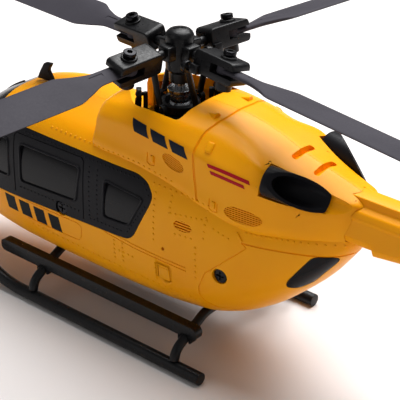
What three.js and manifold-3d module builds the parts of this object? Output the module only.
// A small electric scale model of a light twin-engine helicopter with a four-blade rotor and a
// shrouded tail fan. Millimetres, +X to the nose, +Y to the left side, +Z up.
// The model is laid out about the mast (x = y = 0, ground at z = 0); the last lines move the whole
// group so that the origin is the middle of its footprint on the ground.
import * as THREE from "three";
import { mergeVertices } from "three/addons/utils/BufferGeometryUtils.js";
import Module from "manifold-3d";

const wasm = await Module();
wasm.setup();

// ---------- driving dimensions ----------
const GAP = 0.3; // between two pieces that touch or seat on each other
const RUNNING = 0.1; // radial clearance of a shaft in its bearing or sleeve
const PIVOT_PLAY = 0.8; // radial play where a closed linkage is opened

const WALL = 2; // moulded body shell
const PANEL = 1.2; // glazing panels let into the shell
const BELLY = 12.5; // height of the flat belly
const CABIN_HALF = 21.5;
const COWL_HALF = 18;
const ROOF = 63;
const COWL_TOP = 76;
const NOSE_X = 91.5;
const TAIL_OF_POD = -67.5;
const COWL_FRONT = 18.5;

const WELL_HALF = 13.9; // opening round the rotor head, between the two engine cowls
const WELL_REAR = -11.4;
const WELL_STRAIGHT = 5; // its sides run straight forward to here, then close in
const WELL_MOUTH_HALF = 6;

const BOOM_TOP = 64.2;
const BOOM_START = -60;
const FAN_X = -167;
const FAN_Z = 62;
const FAN_R = 14;
const DUCT_R = FAN_R + 0.6;
const SHROUD_R = 19;
const SHROUD_HALF = 4.2;

const STAB_X = -134;
const STAB_Z = 60.6;
const STAB_CHORD = 13;
const STAB_HALF_SPAN = 36;
const STAB_T = 1.8;

const EXHAUST_R = 4.3;
const END_PLATE_T = 1.4;

const SKID_Y = 27.8;
const SKID_R = 2;
const SKID_REAR = -31.6;
const SKID_BEND = 52;
const CROSS_R = 1.5;
const CROSS_X = [38.2, -21.4];
const CROSS_Z = 14.2;
const STEP_Y = 22;
const STEP_Z = 12.2;

const MAST_R = 1.5;
const MAST_FOOT = 24.2;
const SWASH_Z = 69;
const BALL_R = 4.2;
const LOWER_RING_R = 6.3; // outer radii of the two swashplate rings
const UPPER_RING_R = 6;
const HUB_BOTTOM = 78.3;
const HUB_R = 4.2;
const ROTOR_Z = 88.4; // height of the feathering axes at the mast
const ROTOR_R = 128;
const CHORD = 13.3;
const BLADE_T = 1.5;
const PHASE = -6.8; // degrees from the nose to the first blade
const DROOP = 1.7;
const COLLECTIVE = 13;
const BLADES = 4;
const GRIP_IN = 9.5;
const BOLT_RHO = 19.5;
const LINK_RHO = 7.5;
const HORN_OFFSET = 3.6;
const HORN_DROP = 2.8;

const ROOT_T = 2; // blade root, and the fold bolt through it
const ROOT_END_R = 2.8;
const BOLT_R = 0.9;
const PIN_R = 0.7; // pin that keeps the lower swashplate ring from turning

const GEAR_MODULE = 1;
const GEAR_TEETH = 30;
const PINION_TEETH = 6;
const GEAR_Z = [31, 35];
const MOTOR_X = (GEAR_MODULE * (GEAR_TEETH + PINION_TEETH)) / 2;
const MOTOR_R = 5;

const LOWER_DECK = [26, 28];
const UPPER_DECK = [50, 52];
const DECK_HALF = 15;
const BATTERY = { x0: -15.4, x1: 33.4, half: 10, z0: BELLY + 0.1, z1: 23 };
const SERVO_Z = 57.4; // height of the servo output shafts
const SERVO_ARM = 6;
const SERVO_CASE = 4;
const SCREW_HEAD_R = 2.3; // M2 class body screws
const SCREW_HEAD_DEPTH = 1.2;
const SCREW_R = 0.9;

// ---------- colours ----------
const YELLOW = { color: 0xf2ac0c, roughness: 0.38, metalness: 0 };
const BLACK = { color: 0x1c1c20, roughness: 0.5, metalness: 0 };
const GLOSS_BLACK = { color: 0x17171b, roughness: 0.2, metalness: 0 };
const BLADE_GREY = { color: 0x45434a, roughness: 0.6, metalness: 0 };
const STEEL = { color: 0x9a9ca2, roughness: 0.3, metalness: 1 };
const DARK_STEEL = { color: 0x2a2a2e, roughness: 0.4, metalness: 1 };
const WHITE = { color: 0xe6e4de, roughness: 0.5, metalness: 0 };
const GREEN = { color: 0x1f6b3c, roughness: 0.5, metalness: 0 };
const CELL = { color: 0x2d3138, roughness: 0.45, metalness: 0 };

// ---------- solids ----------
const rad = THREE.MathUtils.degToRad;

function solid(geometry) {
  const bare = geometry.clone();
  bare.deleteAttribute("normal");
  bare.deleteAttribute("uv");
  const merged = mergeVertices(bare, 1e-4);
  const made = new wasm.Manifold(
    new wasm.Mesh({
      numProp: 3,
      vertProperties: new Float32Array(merged.attributes.position.array),
      triVerts: new Uint32Array(merged.index.array),
    }),
  );
  return made;
}

function geometryOf(body) {
  const mesh = body.getMesh();
  const geometry = new THREE.BufferGeometry();
  geometry.setAttribute("position", new THREE.BufferAttribute(mesh.vertProperties, 3));
  geometry.setIndex(new THREE.BufferAttribute(mesh.triVerts, 1));
  return geometry;
}

const join = (bodies) => bodies.reduce((sum, body) => sum.add(body));
const cut = (body, tools) => tools.reduce((left, tool) => left.subtract(tool), body);
const largest = (body) => body.decompose().sort((a, b) => b.volume() - a.volume())[0];

function box(x0, x1, y0, y1, z0, z1) {
  const geometry = new THREE.BoxGeometry(x1 - x0, y1 - y0, z1 - z0);
  return solid(geometry.translate((x0 + x1) / 2, (y0 + y1) / 2, (z0 + z1) / 2));
}

// A straight round rod between two points.
function rod(from, to, r, sides = 12) {
  const a = new THREE.Vector3(...from);
  const b = new THREE.Vector3(...to);
  const geometry = new THREE.CylinderGeometry(r, r, a.distanceTo(b), sides);
  const turn = new THREE.Quaternion().setFromUnitVectors(
    new THREE.Vector3(0, 1, 0),
    b.clone().sub(a).normalize(),
  );
  geometry.applyQuaternion(turn);
  const middle = a.clone().add(b).multiplyScalar(0.5);
  return solid(geometry.translate(middle.x, middle.y, middle.z));
}

function ball(at, r, sides = 6) {
  return solid(new THREE.SphereGeometry(r, sides, sides / 2).translate(...at));
}

// A turned piece about the mast: profile points are [radius, z].
function turned(profile, sides = 20) {
  const points = profile.map(([r, z]) => new THREE.Vector2(r, z));
  return solid(new THREE.LatheGeometry(points, sides).rotateX(Math.PI / 2));
}

const shapeOf = (points) => new THREE.Shape(points.map(([a, b]) => new THREE.Vector2(a, b)));

// An outline of [x, y] points raised from z0 to z1.
function plate(points, z0, z1) {
  const geometry = new THREE.ExtrudeGeometry(shapeOf(points), { depth: z1 - z0, bevelEnabled: false });
  return solid(geometry.translate(0, 0, z0));
}

// An outline of [x, z] points carried across from y0 to y1.
function slab(points, y0, y1) {
  const geometry = new THREE.ExtrudeGeometry(shapeOf(points), { depth: y1 - y0, bevelEnabled: false });
  return solid(geometry.rotateX(Math.PI / 2).translate(0, y1, 0));
}

// A tube of octagonal section with flats above and below, straight between the points and rounded
// at each corner.
function tube(points, r, bend, steps) {
  const at = points.map((p) => new THREE.Vector3(...p));
  const path = new THREE.CurvePath();
  let from = at[0];
  for (let i = 1; i + 1 < at.length; i++) {
    const back = at[i - 1].clone().sub(at[i]).setLength(bend).add(at[i]);
    const ahead = at[i + 1].clone().sub(at[i]).setLength(bend).add(at[i]);
    path.add(new THREE.LineCurve3(from, back));
    path.add(new THREE.QuadraticBezierCurve3(back, at[i], ahead));
    from = ahead;
  }
  path.add(new THREE.LineCurve3(from, at[at.length - 1]));
  const corner = r / Math.cos(Math.PI / 8);
  const section = [];
  for (let i = 0; i < 8; i++) {
    const angle = ((i + 0.5) * Math.PI) / 4;
    section.push([corner * Math.cos(angle), corner * Math.sin(angle)]);
  }
  return solid(new THREE.ExtrudeGeometry(shapeOf(section), { steps, extrudePath: path }));
}

// Rings of points, all of the same length, joined into one closed skin.
function loft(rings) {
  const count = rings[0].length;
  const positions = [];
  const push = (...points) => points.forEach((p) => positions.push(...p));
  const middleOf = (ring) => [0, 1, 2].map((axis) => ring.reduce((sum, p) => sum + p[axis], 0) / count);
  for (let r = 0; r + 1 < rings.length; r++)
    for (let i = 0; i < count; i++) {
      const j = (i + 1) % count;
      push(rings[r][i], rings[r][j], rings[r + 1][j]);
      push(rings[r][i], rings[r + 1][j], rings[r + 1][i]);
    }
  const first = rings[0];
  const last = rings[rings.length - 1];
  for (let i = 0; i < count; i++) {
    const j = (i + 1) % count;
    push(middleOf(first), first[j], first[i]);
    push(middleOf(last), last[i], last[j]);
  }
  const geometry = new THREE.BufferGeometry();
  geometry.setAttribute("position", new THREE.BufferAttribute(new Float32Array(positions), 3));
  return solid(geometry);
}

// Everything on the far side of a plane through a point.
function beyond(point, normal) {
  const geometry = new THREE.BoxGeometry(200, 200, 200).translate(0, 0, 100);
  const direction = new THREE.Vector3(...normal).normalize();
  geometry.applyQuaternion(new THREE.Quaternion().setFromUnitVectors(new THREE.Vector3(0, 0, 1), direction));
  return solid(geometry.translate(...point));
}

// An outline grown outward by a distance.
function grown(points, by) {
  const area = points.reduce((sum, [x, y], i) => {
    const [u, v] = points[(i + 1) % points.length];
    return sum + x * v - u * y;
  }, 0);
  const side = Math.sign(area);
  return points.map((p, i) => {
    const before = points[(i + points.length - 1) % points.length];
    const after = points[(i + 1) % points.length];
    const one = new THREE.Vector2(p[0] - before[0], p[1] - before[1]).normalize();
    const two = new THREE.Vector2(after[0] - p[0], after[1] - p[1]).normalize();
    const normal = new THREE.Vector2(one.y + two.y, -one.x - two.x).multiplyScalar(side).normalize();
    const reach = by / Math.max(0.5, Math.sqrt((1 + one.dot(two)) / 2));
    return [p[0] + normal.x * reach, p[1] + normal.y * reach];
  });
}

// A rectangle with round corners.
function rounded(x0, x1, y0, y1, r, steps = 2) {
  const corners = [
    [x1 - r, y1 - r, 0],
    [x0 + r, y1 - r, 90],
    [x0 + r, y0 + r, 180],
    [x1 - r, y0 + r, 270],
  ];
  const turn = (cx, cy, start, i) => {
    const angle = rad(start + (90 * i) / steps);
    return [cx + r * Math.cos(angle), cy + r * Math.sin(angle)];
  };
  return corners.flatMap(([cx, cy, start]) =>
    Array.from({ length: steps + 1 }, (_, i) => turn(cx, cy, start, i)),
  );
}

const root = new THREE.Group();

function add(name, body, look, parent = root) {
  const mesh = new THREE.Mesh(geometryOf(body), new THREE.MeshStandardMaterial(look));
  mesh.name = name;
  parent.add(mesh);
  return mesh;
}

const SIDES = [
  ["left", 1],
  ["right", -1],
];

// ---------- body form ----------
// One station of the pod or of the cowling: [x, half width, bottom, height of the widest point, top,
// squareness]. A section is a superellipse with separate upper and lower heights.
const POD = [
  [NOSE_X, 3, 24.5, 28, 31.5, 2],
  [NOSE_X - 1.5, 7.6, 20.8, 28, 35.6, 2.1],
  [86.5, 12.6, 17, 29, 42, 2.3],
  [80, 16.6, 14.6, 31, 49, 2.5],
  [71, 19.4, BELLY + 0.7, 33, 56.3, 2.8],
  [60, 21, BELLY + 0.1, 35, 61.3, 3.2],
  [48, CABIN_HALF, BELLY, 36, ROOF, 3.6],
  [28, CABIN_HALF, BELLY, 36, ROOF, 3.8],
  [10, CABIN_HALF, BELLY, 36, ROOF, 3.8],
  [-8, CABIN_HALF - 0.1, BELLY, 36, ROOF - 0.5, 3.4],
  [-22, CABIN_HALF - 0.6, BELLY + 0.5, 36, ROOF - 2, 2.9],
  [-32, 19.9, 15.8, 37.5, 60, 2.7],
  [-42, 17.4, 21.3, 40, 59, 2.5],
  [-50, 14.3, 28, 43, 58, 2.4],
  [-57, 10.9, 35, 46, 57.5, 2.3],
  [-62, 7.6, 41.5, 48.5, 57, 2.2],
  [-65.6, 4.4, 46.5, 51, 56.5, 2.1],
  [TAIL_OF_POD, 1.8, 49.5, 52.5, 55, 2],
];
const COWL = [
  [COWL_FRONT, COWL_HALF - 1, 50, 62, 72.4, 3.6],
  [10, COWL_HALF - 0.4, 48, 61, COWL_TOP - 1.4, 3.6],
  [0, COWL_HALF - 0.1, 46, 60, COWL_TOP - 0.4, 3.6],
  [-12, COWL_HALF + 0.1, 45, 60, COWL_TOP, 3.4],
  [-23.5, COWL_HALF + 0.1, 44, 60, COWL_TOP - 0.1, 3.2],
  [-33, COWL_HALF - 0.3, 44, 59, COWL_TOP - 1.8, 3],
  [-43, COWL_HALF - 1.7, 45, 57, COWL_TOP - 5, 2.9],
  [-52.6, 13.3, 46, 56, 68, 2.7],
  [-60, 10.2, 47, 56, 66, 2.5],
  [-65.6, 6.6, 49, 56, 64.2, 2.3],
  [TAIL_OF_POD - 0.7, 2.6, 52, 56.5, 61.5, 2],
];

function section([x, half, bottom, wide, top, square], points) {
  return Array.from({ length: points }, (_, i) => {
    const angle = (2 * Math.PI * (i + 0.5)) / points;
    const across = Math.sin(angle);
    const up = Math.cos(angle);
    const y = half * Math.sign(across) * Math.abs(across) ** (2 / square);
    const reach = up > 0 ? top - wide : wide - bottom;
    return [x, y, wide + reach * Math.sign(up) * Math.abs(up) ** (2 / square)];
  });
}

// The stations moved inward by a distance; the end stations close in along x as well.
function inward(stations, by) {
  const kept = stations.filter(([, half, bottom, , top]) => half > by + 1.5 && top - bottom > 2 * by + 2);
  return kept.map(([x, half, bottom, wide, top, square], i) => {
    const ends = { 0: -by, [kept.length - 1]: by };
    return [x + (ends[i] ?? 0), half - by, bottom + by, wide, top - by, square];
  });
}

const hull = (stations, by, points) =>
  loft(inward(stations, by).map((station) => section(station, points)));
const bodyForm = (by, points = 24) => hull(POD, by, points).add(hull(COWL, by, points * 0.75));

// ---------- glazing outlines ----------
const SIDE_PANEL = [
  [61, 55.2],
  [45, 55.6],
  [-0.5, 55.5],
  [-4.6, 54.2],
  [-7.2, 51],
  [-6.4, 48],
  [0, 35.6],
  [2, 33.8],
  [5, 33.3],
  [44, 31.6],
  [61, 31],
];
const WINDSCREEN = [
  [62.4, 59.6],
  [62.4, 31.2],
  [74, 29.8],
  [84, 26.4],
  [96, 26.4],
  [96, 64],
  [66, 64],
];
const REAR_WINDOW = [
  [-57.4, 45.6],
  [-50.5, 36],
  [-49.8, 33.6],
  [-52, 33],
  [-55.5, 35.4],
  [-62.4, 44],
  [-62.8, 45.6],
];

function inlay(outline, y0, y1) {
  const skin = cut(bodyForm(0), [bodyForm(PANEL)]);
  return largest(skin.intersect(slab(outline, y0, y1)));
}

function inlaySeat(outline, y0, y1) {
  const skin = cut(bodyForm(-1), [bodyForm(PANEL + GAP)]);
  return skin.intersect(slab(grown(outline, GAP), y0, y1));
}

// ---------- boom form ----------
// Half outline of the boom: share of the half width, drop from the top or rise from the bottom.
function boomSection(x, half, top, bottom, by) {
  const rise = Math.min(1, (top - 5.6 - bottom) / 4.5); // the lower flank shrinks where the boom is shallow
  const side = [
    [0.42 * half, top],
    [0.47 * half, top - 2.2],
    [0.8 * half, top - 3],
    [0.97 * half, top - 4.6],
    [0.9 * half, top - 5.6],
    [half, bottom + 3.4 * rise],
    [0.85 * half, bottom + rise],
    [0.45 * half, bottom],
  ];
  const outline = [...side.map(([y, z]) => [-y, z]).reverse(), ...side];
  return grown(outline, by).map(([y, z]) => [x, y, z]);
}

const BOOM_END = FAN_X + SHROUD_R - 6;
function boomForm(by) {
  const stations = [
    [BOOM_START, 6.6, 50],
    [-72.8, 6.5, 50.2],
    [-73.2, 6.5, 48.6],
    [-100, 5.9, 51.6],
    [-128, 5.2, 55.2],
    [BOOM_END, 4.4, 57.4],
  ];
  return loft(stations.map(([x, half, bottom]) => boomSection(x, half, BOOM_TOP, bottom, by)));
}

// ---------- exhausts ----------
const exhaustAt = (side, x) => {
  const along = (x + 43.5) / -16.5;
  return [x, side * (14.3 - 2.7 * along), 66.2 - 1.6 * along];
};

function exhaust(side) {
  const outer = rod(exhaustAt(side, -43.5), exhaustAt(side, -61), EXHAUST_R, 16);
  const bore = rod(exhaustAt(side, -44.7), exhaustAt(side, -62), EXHAUST_R - 0.8, 16);
  const scarf = beyond(exhaustAt(side, -53.6), [-0.535, 0.58 * side, 0.45]);
  return largest(cut(outer, [bore, scarf]));
}

const exhaustBed = (side, r) => rod(exhaustAt(side, -43.5 + GAP), exhaustAt(side, -66), r, 12);

// ---------- fuselage shells ----------
const BODY_SCREWS = [
  ["frame", 30, 34],
  ["rear_door", -31.7, 33.4],
];

const wellOutline = () => {
  const half = [
    [WELL_REAR, WELL_HALF],
    [WELL_STRAIGHT, WELL_HALF],
    [WELL_STRAIGHT + 3, WELL_HALF - 1.8],
    [WELL_STRAIGHT + 8, WELL_MOUTH_HALF + 1.6],
    [WELL_STRAIGHT + 11, WELL_MOUTH_HALF],
    [COWL_FRONT + 4, WELL_MOUTH_HALF],
  ];
  return [...half, ...half.map(([x, y]) => [x, -y]).reverse()];
};

const ridgeSlot = (x) => plate(rounded(x - 1, x + 1, -4.6, 4.6, 0.95), 62, COWL_TOP + 2);

function screwSeat(side, x, z) {
  const face = side * bodyHalfAt(x, z);
  const head = rod([x, face + side * 3, z], [x, face - side * SCREW_HEAD_DEPTH, z], SCREW_HEAD_R + GAP, 10);
  const hole = rod([x, face + side * 3, z], [x, face - side * 8, z], SCREW_R + GAP, 8);
  return head.add(hole);
}

// Half width of the outer form at a place, found by sectioning the skin with a thin probe.
function bodyHalfAt(x, z) {
  const probe = box(x - 0.1, x + 0.1, 0, 40, z - 0.1, z + 0.1).intersect(outerForm);
  return probe.boundingBox().max[1];
}

const outerForm = bodyForm(0);
const crossTube = (x, by) => tube(crossTubePath(x), CROSS_R + by, 2.6, 20);

function crossTubePath(x) {
  const half = [
    [SKID_Y, 2 * SKID_R + GAP],
    [SKID_Y - 0.6, 7.4],
    [14, CROSS_Z],
  ];
  const points = [...half, ...half.map(([y, z]) => [-y, z]).reverse()];
  return points.map(([y, z]) => [x, y, z]);
}

function shellBlank() {
  const skin = cut(outerForm, [bodyForm(WALL, 16)]);
  const beds = SIDES.map(([, side]) => exhaustBed(side, EXHAUST_R + 0.7 + WALL * 0.8).intersect(outerForm));
  const front = SIDES.map(([, side]) => screwBoss(side)).map((boss) => boss.intersect(outerForm));
  const whole = join([skin, ...beds, ...front]);
  const seats = SIDES.flatMap(([, side]) => [
    exhaustBed(side, EXHAUST_R + 0.7),
    inlaySeat(SIDE_PANEL, side > 0 ? 8 : -40, side > 0 ? 40 : -8),
    inlaySeat(REAR_WINDOW, side > 0 ? 3.2 : -40, side > 0 ? 40 : -3.2),
    ...BODY_SCREWS.map(([, x, z]) => screwSeat(side, x, z)),
  ]);
  const openings = [
    plate(wellOutline(), ROOF + 0.2, COWL_TOP + 10),
    inlaySeat(WINDSCREEN, -40, 40),
    boomForm(GAP),
    batteryForm(GAP, BELLY - 5),
    ridgeSlot(-45),
    ridgeSlot(-52.6),
    ...CROSS_X.map((x) => crossTube(x, GAP)),
  ];
  return cut(whole, [...seats, ...openings]);
}

// Solid material behind the rear-door screw, for its thread.
const screwBoss = (side) => rod([-31.7, side * 22, 33.4], [-31.7, side * 13.5, 33.4], 3.6);

function addShells() {
  const blank = shellBlank();
  for (const [name, side] of SIDES) {
    const near = side * (GAP / 2);
    const half = side > 0 ? box(-100, 120, near, 60, 0, 120) : box(-100, 120, -60, near, 0, 120);
    add(`fuselage_${name}`, largest(blank.intersect(half)), YELLOW);
  }
}

function addGlazing() {
  add("windscreen", inlay(WINDSCREEN, -40, 40), GLOSS_BLACK);
  for (const [name, side] of SIDES) {
    const reach = (near) => (side > 0 ? [near, 40] : [-40, -near]);
    const panel = inlay(SIDE_PANEL, ...reach(8));
    const clearance = BODY_SCREWS.map(([, x, z]) => screwSeat(side, x, z));
    add(`side_window_panel_${name}`, largest(cut(panel, clearance)), BLACK);
    add(`rear_window_${name}`, inlay(REAR_WINDOW, ...reach(3.2)), GLOSS_BLACK);
  }
}

// A countersunk cross-head screw pressed flush with the skin.
function addBodyScrews() {
  for (const [name, side] of SIDES)
    for (const [place, x, z] of BODY_SCREWS) {
      const face = side * (bodyHalfAt(x, z) - 0.35);
      const under = face - side * (SCREW_HEAD_DEPTH - 0.35 - GAP);
      const head = rod([x, face, z], [x, under, z], SCREW_HEAD_R);
      const shank = rod([x, under + side * 0.2, z], [x, face - side * 6.4, z], SCREW_R, 8);
      const slots = [
        box(x - 1.5, x + 1.5, face - 0.4, face + 0.4, z - 0.3, z + 0.3),
        box(x - 0.3, x + 0.3, face - 0.4, face + 0.4, z - 1.5, z + 1.5),
      ];
      add(`${place}_screw_${name}`, cut(head.add(shank), slots), DARK_STEEL);
    }
}

function addExhausts() {
  for (const [name, side] of SIDES) add(`exhaust_${name}`, exhaust(side), BLACK);
}

// ---------- tail ----------
function addBoom() {
  const shroud = rod([FAN_X, -20, FAN_Z], [FAN_X, 20, FAN_Z], SHROUD_R + GAP, 28);
  const slot = stabiliserForm(GAP);
  add("tail_boom", largest(cut(boomForm(0), [shroud, slot])), YELLOW);
}

function stabiliserForm(by) {
  const half = STAB_CHORD / 2 + by;
  const t = STAB_T / 2 + by;
  const outline = [
    [STAB_X + half, STAB_Z],
    [STAB_X + half * 0.7, STAB_Z + t],
    [STAB_X - half * 0.2, STAB_Z + t],
    [STAB_X - half, STAB_Z + 0.2],
    [STAB_X - half, STAB_Z - 0.2],
    [STAB_X - half * 0.2, STAB_Z - t],
    [STAB_X + half * 0.7, STAB_Z - t],
  ];
  const reach = STAB_HALF_SPAN + by;
  return slab(outline, -reach, reach);
}

const END_PLATE = [
  [STAB_X + 9, STAB_Z - 2],
  [STAB_X + 2, STAB_Z + 10],
  [STAB_X - 8, STAB_Z + 11],
  [STAB_X - 10, STAB_Z],
  [STAB_X - 7, STAB_Z - 9],
  [STAB_X + 1, STAB_Z - 9],
];

// The stabiliser and its two end plates are one moulding.
function addStabiliser() {
  const plates = SIDES.map(([, side]) => {
    const middle = side * STAB_HALF_SPAN;
    return slab(END_PLATE, middle - END_PLATE_T / 2, middle + END_PLATE_T / 2);
  });
  add("stabiliser", join([stabiliserForm(0), ...plates]), YELLOW);
}

const FIN = [
  [FAN_X + 13, FAN_Z + 12],
  [FAN_X + 3, FAN_Z + 22],
  [FAN_X - 10, FAN_Z + 37],
  [FAN_X - 25, FAN_Z + 38.5],
  [FAN_X - 22, FAN_Z + 20],
  [FAN_X - 18, FAN_Z - 2],
  [FAN_X - 16, FAN_Z - 16],
  [FAN_X - 8, FAN_Z - 24],
  [FAN_X - 3, FAN_Z - 18],
];

// Fan shroud: a ring with round lips, the swept fin above it and the small keel below.
function addTailShroud() {
  const lip = [
    [DUCT_R, -SHROUD_HALF + 1.2],
    [DUCT_R + 1, -SHROUD_HALF],
    [SHROUD_R - 0.8, -SHROUD_HALF + 0.9],
    [SHROUD_R, -SHROUD_HALF + 2.4],
    [SHROUD_R, SHROUD_HALF - 2.4],
    [SHROUD_R - 0.8, SHROUD_HALF - 0.9],
    [DUCT_R + 1, SHROUD_HALF],
    [DUCT_R, SHROUD_HALF - 1.2],
    [DUCT_R, -SHROUD_HALF + 1.2],
  ];
  const points = lip.map(([r, y]) => new THREE.Vector2(r, y));
  const ring = solid(new THREE.LatheGeometry(points, 28).translate(FAN_X, 0, FAN_Z));
  const duct = rod([FAN_X, -20, FAN_Z], [FAN_X, 20, FAN_Z], DUCT_R, 28);
  const fin = slab(FIN, -1.9, 1.9);
  const shell = largest(cut(join([ring, fin]), [duct]));
  add("tail_shroud", join([shell, ...fanStator()]), YELLOW);
}

// Fan motor housing in the middle of the duct, carried by vanes from the duct wall.
function fanStator() {
  const hub = rod([FAN_X, -4, FAN_Z], [FAN_X, -1.2, FAN_Z], 4.2, 16);
  const can = rod([FAN_X, -1.3, FAN_Z], [FAN_X, 0.4, FAN_Z], 3, 12);
  const length = DUCT_R - 3;
  const vanes = [];
  for (let i = 0; i < 5; i++) {
    const vane = new THREE.BoxGeometry(length, 2.4, 0.8).translate(3.5 + length / 2, -2.6, 0);
    vanes.push(solid(vane.rotateY(-rad(36 + 72 * i)).translate(FAN_X, 0, FAN_Z)));
  }
  return [hub, can, ...vanes];
}

function addTailFan() {
  const hub = rod([FAN_X, 0.7, FAN_Z], [FAN_X, 3.2, FAN_Z], 4, 20);
  const blades = [];
  for (let i = 0; i < 10; i++) {
    const blade = new THREE.BoxGeometry(FAN_R - 3.4, 0.5, 2.8);
    blade.rotateX(rad(28)).translate((FAN_R + 3.4) / 2, 1.95, 0);
    blade.rotateY(-rad(36 * i)).translate(FAN_X, 0, FAN_Z);
    blades.push(solid(blade));
  }
  add("tail_fan", join([hub, ...blades]), BLACK);
}

// ---------- landing gear ----------
function addLandingGear() {
  for (const [name, side] of SIDES) {
    const y = side * SKID_Y;
    const path = [
      [SKID_REAR, y, SKID_R],
      [SKID_BEND, y, SKID_R],
      [SKID_BEND + 16, y, SKID_R + 9],
    ];
    add(`skid_${name}`, tube(path, SKID_R, 8, 20), BLACK);
    add(`step_${name}`, stepBar(side), BLACK);
  }
  CROSS_X.forEach((x, i) => {
    add(`cross_tube_${["front", "rear"][i]}`, crossTube(x, 0), BLACK);
  });
}

// Boarding step: a flat-sided bar with round ends, on two feet that saddle the cross tubes.
function stepBar(side) {
  const y = side * STEP_Y;
  const bar = slab(rounded(-26, 57, STEP_Z - 2.05, STEP_Z + 2.05, 2), y - 1.5, y + 1.5);
  const feet = CROSS_X.map((x) => box(x - 2.4, x + 2.4, y - 1.5, y + 1.5, 8.6, STEP_Z));
  return largest(cut(join([bar, ...feet]), CROSS_X.map((x) => crossTube(x, GAP))));
}

// ---------- chassis and drive ----------
function addChassis() {
  const lower = plate(rounded(-30, 46, -DECK_HALF, DECK_HALF, 3), ...LOWER_DECK);
  const upper = plate(rounded(-22, 27, -DECK_HALF, DECK_HALF, 3), ...UPPER_DECK);
  const posts = [-19, 24].flatMap((x) =>
    [-12.6, 12.6].map((y) => rod([x, y, LOWER_DECK[0] + 1], [x, y, UPPER_DECK[1] - 1], 2, 8)),
  );
  const lugs = SIDES.map(([, side]) => chassisLug(side));
  const bosses = [LOWER_DECK, UPPER_DECK].map(([z0, z1]) => rod([0, 0, z0 - 1], [0, 0, z1 + 1.4], 4, 16));
  const mastWay = rod([0, 0, 20], [0, 0, 60], MAST_R + RUNNING, 16);
  const seats = SIDES.map(([, side]) => screwSeat(side, 30, 34));
  const parts = join([lower, upper, ...posts, ...lugs, ...bosses, antiRotationGuide()]);
  add("chassis", cut(parts, [mastWay, ...seats]), BLACK);
}

// Forked post behind the mast that keeps the lower swashplate ring from turning.
function antiRotationGuide() {
  const base = UPPER_DECK[1] - 1;
  const post = box(-13.4, -10, -3, 3, base, SWASH_Z + 3);
  const way = box(-14, -9, -PIN_R - GAP, PIN_R + GAP, base + 4, SWASH_Z + 4);
  return cut(post, [way]);
}

// Block on the lower deck that takes the body screw.
function chassisLug(side) {
  const y = [DECK_HALF - 4, CABIN_HALF - WALL - GAP - 1];
  const reach = side > 0 ? y : [-y[1], -y[0]];
  return box(26.5, 33.5, ...reach, LOWER_DECK[1] - 1, 38);
}

// Spur gear outline with straight-flanked teeth, cut a little thin so that the pair runs free.
function gearOutline(teeth, turn) {
  const pitch = (GEAR_MODULE * teeth) / 2;
  const tip = pitch + GEAR_MODULE * 0.8;
  const foot = pitch - GEAR_MODULE * 1.15;
  const step = (2 * Math.PI) / teeth;
  const points = [];
  for (let i = 0; i < teeth; i++)
    for (const [r, share] of [[foot, -0.27], [tip, -0.1], [tip, 0.1], [foot, 0.27]]) {
      const angle = turn + (i + share) * step;
      points.push([r * Math.cos(angle), r * Math.sin(angle)]);
    }
  return points;
}

function addDrive() {
  const [z0, z1] = GEAR_Z;
  const wheel = plate(gearOutline(GEAR_TEETH, 0), z0, z1);
  const boss = rod([0, 0, z0 - 1.2], [0, 0, z1 + 3], 3.4, 16);
  const bore = rod([0, 0, z0 - 4], [0, 0, z1 + 4], MAST_R + RUNNING, 16);
  const lightening = [];
  for (let i = 0; i < 4; i++) {
    const angle = rad(90 * i);
    const at = [9 * Math.cos(angle), 9 * Math.sin(angle)];
    lightening.push(rod([...at, z0 - 1], [...at, z1 + 1], 3, 8));
  }
  add("main_gear", cut(wheel.add(boss), [bore, ...lightening]), WHITE);
  const halfTooth = Math.PI / PINION_TEETH;
  const toothed = plate(gearOutline(PINION_TEETH, Math.PI + halfTooth), z0, z1);
  const shaft = rod([0, 0, z0 - 1], [0, 0, 40], 0.75, 12);
  add("motor_pinion", toothed.add(shaft), STEEL).position.x = MOTOR_X;
  const top = UPPER_DECK[0] - GAP;
  const can = rod([MOTOR_X, 0, 37.5], [MOTOR_X, 0, top], MOTOR_R, 24);
  const nose = rod([MOTOR_X, 0, 36.5], [MOTOR_X, 0, 37.6], 2, 16);
  const shaftWay = rod([MOTOR_X, 0, 36], [MOTOR_X, 0, 41], 0.75 + RUNNING, 12);
  add("main_motor", cut(can.add(nose), [shaftWay]), STEEL);
}

function batteryForm(by, floor) {
  const { x0, x1, half, z1 } = BATTERY;
  return plate(rounded(x0 - by, x1 + by, -half - by, half + by, 1.6 + by), floor, z1 + by);
}

function addElectrics() {
  const pull = box(BATTERY.x0 + 3, BATTERY.x0 + 5, -6, 6, 10, BATTERY.z0 + 0.9);
  const finger = box(BATTERY.x0 + 5.2, BATTERY.x0 + 9, -6, 6, 10, BATTERY.z0 + 0.9);
  add("battery_pack", cut(batteryForm(0, BATTERY.z0), [pull, finger]), CELL);
  const base = LOWER_DECK[1] + GAP;
  const board = box(34.5, 44.5, -13, 13, base, base + 1.2);
  const chips = [
    box(36, 41, -4, 3, base + 1, base + 2.6),
    box(37, 43, 5, 11, base + 1, base + 4.4),
    box(36, 42, -11, -7, base + 1, base + 3.6),
  ];
  add("circuit_board", join([board, ...chips]), GREEN);
}

// ---------- servos ----------
// Each servo: name, place of its ball on the lower swashplate ring (bearing, distance from the mast,
// height) and the side of its arm on which its case stands. Two of the balls stand on raised arms.
const RAISED = SWASH_Z + 5.2;
const LOW = SWASH_Z - 1.6;
const SERVOS = [
  ["front", 43, 12, RAISED, -1],
  ["left", 118, 9.8, LOW, 1],
  ["right", 238, 11.5, RAISED, 1],
];

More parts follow.
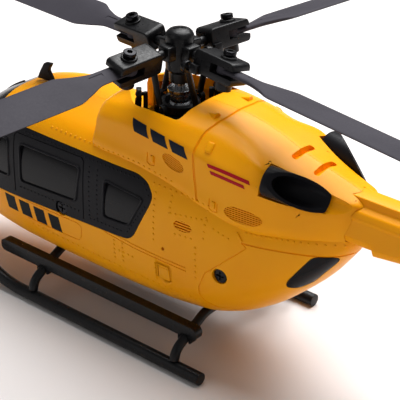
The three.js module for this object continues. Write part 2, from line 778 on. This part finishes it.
function addServos() {
  for (const [name, bearing, rho, ballZ, caseSide] of SERVOS) {
    const [x, y] = radial(bearing, rho, ballZ);
    const shaftX = x + SERVO_ARM;
    const near = y + caseSide * 1.3;
    const far = near + caseSide * SERVO_CASE;
    const floor = UPPER_DECK[1] + GAP;
    const body = box(shaftX - 4, shaftX + 3, Math.min(near, far), Math.max(near, far), floor, SERVO_Z + 2.4);
    const boss = rod([shaftX, near, SERVO_Z], [shaftX, near - caseSide * 0.5, SERVO_Z], 1.6, 10);
    add(`servo_${name}`, body.add(boss), BLACK);
    const armHub = rod([shaftX, y - 0.5, SERVO_Z], [shaftX, y + 0.5, SERVO_Z], 1.6, 10);
    const arm = box(x, shaftX, y - 0.5, y + 0.5, SERVO_Z - 0.9, SERVO_Z + 0.9);
    const stud = rod([x, y, SERVO_Z], [x, y - caseSide * 2.4, SERVO_Z], 0.6, 8);
    const knob = ball([x, y - caseSide * 2.2, SERVO_Z], 0.9);
    add(`servo_arm_${name}`, join([armHub, arm, stud, knob]), BLACK);
    const link = servoLink([x, y - caseSide * 2.2, SERVO_Z], radial(bearing, rho, ballZ));
    add(`servo_link_${name}`, link, BLACK);
  }
}

// Eye with its hole along a direction.
function eye(at, direction, r, bore, length) {
  const d = new THREE.Vector3(...direction).normalize().multiplyScalar(length / 2);
  const a = new THREE.Vector3(...at);
  const ends = [a.clone().sub(d).toArray(), a.clone().add(d).toArray()];
  const longer = [a.clone().addScaledVector(d, -2).toArray(), a.clone().addScaledVector(d, 2).toArray()];
  return { body: rod(...ends, r, 8), hole: rod(...longer, bore, 6) };
}

function servoLink(foot, top) {
  const lower = eye(foot, [0, 1, 0], 0.9 + PIVOT_PLAY + 0.7, 0.9 + PIVOT_PLAY, 1.8);
  const upper = eye(top, [top[0], top[1], 0], 2, 1.1 + GAP, 1.6);
  const stem = rod(foot, top, 1, 8);
  return cut(join([lower.body, upper.body, stem]), [lower.hole, upper.hole]);
}

// ---------- swashplate ----------
function addSwashplate() {
  const lower = SWASH_Z - 3.5;
  const sphere = [];
  for (let i = 0; i <= 4; i++) {
    const angle = rad(-48 + 24 * i);
    sphere.push([BALL_R * Math.cos(angle), SWASH_Z + BALL_R * Math.sin(angle)]);
  }
  const sleeve = [
    [MAST_R + RUNNING, lower],
    [2.8, lower],
    ...sphere,
    [2.8, SWASH_Z + 3.4],
    [2.8, SWASH_Z + 5],
    [MAST_R + RUNNING, SWASH_Z + 5],
    [MAST_R + RUNNING, lower],
  ];
  add("swash_sleeve", turned(sleeve), STEEL);
  addLowerRing();
  addUpperRing();
}

const RING_BORE = BALL_R + GAP;
const midRing = (outer) => (RING_BORE + outer) / 2; // where studs and pins root in a ring
const flatRing = (outer, z0, z1) =>
  cut(rod([0, 0, z0], [0, 0, z1], outer, 16), [rod([0, 0, z0 - 1], [0, 0, z1 + 1], RING_BORE + 0.1, 16)]);

function radial(bearing, rho, z) {
  return [rho * Math.cos(rad(bearing)), rho * Math.sin(rad(bearing)), z];
}

const LOWER_RING = [SWASH_Z - 2.4, SWASH_Z + 0.2];
const UPPER_RING = [SWASH_Z + 0.5, SWASH_Z + 3.2];
const UPPER_STUD_Z = SWASH_Z + 1.9;
const POST_BACK = 1.9; // from a servo ball back to the post that raises it, outside the pitch links

function addLowerRing() {
  const studs = SERVOS.flatMap(([, bearing, rho, ballZ]) => [
    rod(radial(bearing, midRing(LOWER_RING_R), LOW), radial(bearing, rho - POST_BACK, LOW), 0.7, 8),
    rod(radial(bearing, rho - POST_BACK, LOW - 0.5), radial(bearing, rho - POST_BACK, ballZ + 0.5), 0.7, 8),
    rod(radial(bearing, rho - POST_BACK, ballZ), radial(bearing, rho, ballZ), 0.6, 8),
    ball(radial(bearing, rho, ballZ), 1.1),
  ]);
  const pin = rod([-midRing(LOWER_RING_R), 0, LOW], [-12.6, 0, LOW], PIN_R, 8);
  add("swash_lower_ring", join([flatRing(LOWER_RING_R, ...LOWER_RING), ...studs, pin]), BLACK);
}

function addUpperRing() {
  const studs = bladeAngles().flatMap((bearing) => [
    rod(radial(bearing, midRing(UPPER_RING_R), UPPER_STUD_Z), radial(bearing, LINK_RHO + 0.6, UPPER_STUD_Z), 0.5, 8),
    ball(radial(bearing, LINK_RHO, UPPER_STUD_Z), 0.8),
  ]);
  add("swash_upper_ring", join([flatRing(UPPER_RING_R, ...UPPER_RING), ...studs]), BLACK);
}

// ---------- rotor ----------
const bladeAngles = () => Array.from({ length: BLADES }, (_, i) => PHASE + (360 / BLADES) * i);

// Frame of one blade: x out along the feathering axis, -y to the leading edge.
function bladeMatrix(bearing, pitch) {
  const turn = new THREE.Matrix4().makeRotationZ(rad(bearing));
  const droop = new THREE.Matrix4().makeRotationY(rad(DROOP));
  const feather = new THREE.Matrix4().makeRotationX(-rad(pitch));
  const lift = new THREE.Matrix4().makeTranslation(0, 0, ROTOR_Z);
  return lift.multiply(turn).multiply(droop).multiply(feather);
}

const placed = (body, matrix) => solid(geometryOf(body).applyMatrix4(matrix));

function addMast() {
  const shaft = rod([0, 0, MAST_FOOT], [0, 0, 91], MAST_R, 16);
  const collar = rod([0, 0, SWASH_Z + 6], [0, 0, SWASH_Z + 7.2], 3.7, 16);
  add("rotor_mast", join([shaft, collar]), STEEL);
}

function addHub() {
  const profile = [
    [0, 91.5],
    [MAST_R + RUNNING, 91.5],
    [MAST_R + RUNNING, HUB_BOTTOM],
    [3.2, HUB_BOTTOM],
    [3.2, HUB_BOTTOM + 3],
    [HUB_R, HUB_BOTTOM + 4.2],
    [HUB_R, 92.5],
    [3.2, 94],
    [0, 94.6],
  ];
  const core = turned(profile);
  const spindles = bladeAngles().map((bearing) =>
    placed(rod([HUB_R - 1, 0, 0], [14, 0, 0], 1.4, 8), bladeMatrix(bearing, 0)),
  );
  add("rotor_hub", join([core, ...spindles]), BLACK);
}

function gripForm() {
  const body = slab(rounded(GRIP_IN, 25, -3.4, 3.4, 1.4, 1), -3.6, 3.6);
  const boss = rod([BOLT_RHO, 0, -6], [BOLT_RHO, 0, 4], 2.4, 12);
  const horn = box(GRIP_IN, GRIP_IN + 3, -HORN_OFFSET - 1, -2.4, -HORN_DROP - 1, -1);
  const stud = rod([GRIP_IN + 1, -HORN_OFFSET, -HORN_DROP], [LINK_RHO - 1.2, -HORN_OFFSET, -HORN_DROP], 0.5, 8);
  const knob = ball([LINK_RHO, -HORN_OFFSET, -HORN_DROP], 0.8);
  const bore = rod([GRIP_IN - 1, 0, 0], [14.4, 0, 0], 1.4 + GAP, 8);
  const slotHalf = ROOT_T / 2 + GAP;
  const slot = box(BOLT_RHO - ROOT_END_R - GAP, 30, -6, 6, -slotHalf, slotHalf);
  const boltWay = rod([BOLT_RHO, 0, -8], [BOLT_RHO, 0, 6], BOLT_R + GAP, 8);
  return cut(join([body, boss, horn, stud, knob]), [bore, slot, boltWay]);
}

// Blade half chords ahead of and behind the feathering axis, from the root outwards.
const PLANFORM = [
  [BOLT_RHO, 2.8, 2.8, ROOT_T],
  [30, 2.8, 2.8, ROOT_T],
  [36, 4.4, 4.8, ROOT_T],
  [42, CHORD / 2, CHORD / 2, BLADE_T],
  [122, CHORD / 2, CHORD / 2, BLADE_T * 0.9],
  [126.5, CHORD / 2 - 1.2, CHORD / 2 - 0.4, BLADE_T * 0.8],
  [ROTOR_R, CHORD / 2 - 3.6, CHORD / 2 - 2, BLADE_T * 0.7],
];

function bladeForm() {
  const rings = PLANFORM.map(([rho, ahead, behind, t]) => {
    const chord = ahead + behind;
    const at = (share, height) => [rho, -ahead + share * chord, height * t];
    return [
      at(0, 0),
      at(0.08, 0.34),
      at(0.3, 0.5),
      at(0.62, 0.38),
      at(1, 0.08),
      at(1, -0.12),
      at(0.62, -0.4),
      at(0.3, -0.5),
      at(0.08, -0.36),
    ].reverse();
  });
  const tongue = rod([BOLT_RHO, 0, -ROOT_T / 2], [BOLT_RHO, 0, ROOT_T / 2], ROOT_END_R, 12);
  const hole = rod([BOLT_RHO, 0, -5], [BOLT_RHO, 0, 5], BOLT_R + GAP, 8);
  return cut(join([loft(rings), tongue]), [hole]);
}

function boltForm() {
  const shank = rod([BOLT_RHO, 0, -6.4], [BOLT_RHO, 0, 4 + GAP + 0.2], BOLT_R, 8);
  const head = rod([BOLT_RHO, 0, 4 + GAP], [BOLT_RHO, 0, 5.6], 1.9, 12);
  const key = rod([BOLT_RHO, 0, 4.9], [BOLT_RHO, 0, 6], 0.9, 6);
  return cut(join([shank, head]), [key]);
}

// Where a point of a blade's frame lies in the model.
function bladePoint(bearing, pitch, point) {
  return new THREE.Vector3(...point).applyMatrix4(bladeMatrix(bearing, pitch)).toArray();
}

function pitchLink(bearing) {
  const foot = radial(bearing, LINK_RHO, UPPER_STUD_Z);
  const top = bladePoint(bearing, COLLECTIVE, [LINK_RHO, -HORN_OFFSET, -HORN_DROP]);
  const along = radial(bearing, 1, 0);
  const lower = eye(foot, along, 0.8 + PIVOT_PLAY + 0.6, 0.8 + PIVOT_PLAY, 1.6);
  const upper = eye(top, along, 0.8 + GAP + 0.7, 0.8 + GAP, 1.6);
  return cut(join([lower.body, upper.body, rod(foot, top, 0.95, 8)]), [lower.hole, upper.hole]);
}

function addBlades() {
  const grip = gripForm();
  const blade = bladeForm();
  const bolt = boltForm();
  bladeAngles().forEach((bearing, i) => {
    const matrix = bladeMatrix(bearing, COLLECTIVE);
    add(`blade_grip_${i + 1}`, placed(grip, matrix), BLACK);
    add(`blade_${i + 1}`, placed(blade, matrix), BLADE_GREY);
    add(`blade_bolt_${i + 1}`, placed(bolt, matrix), DARK_STEEL);
    add(`pitch_link_${i + 1}`, pitchLink(bearing), BLACK);
  });
}

// ---------- roof wire cutter ----------
function addWireCutter() {
  const blade = [
    [53, ROOF - 0.4],
    [60, ROOF - 0.9],
    [58.6, ROOF + 2],
    [56.6, ROOF + 5.2],
    [53.4, ROOF + 5.6],
    [55, ROOF + 3],
  ];
  const knife = cut(slab(blade, -0.7, 0.7), [bodyForm(-GAP)]);
  add("wire_cutter", largest(knife), BLACK);
}

addShells();
addGlazing();
addBodyScrews();
addExhausts();
addBoom();
addStabiliser();
addTailShroud();
addTailFan();
addLandingGear();
addChassis();
addDrive();
addElectrics();
addServos();
addSwashplate();
addMast();
addHub();
addBlades();
addWireCutter();

// The rotor is the widest thing across and the fin and nose blades set the length, so the origin is
// taken from the finished group.
const extent = new THREE.Box3().setFromObject(root, true);
root.position.x = -(extent.min.x + extent.max.x) / 2;

export default root;
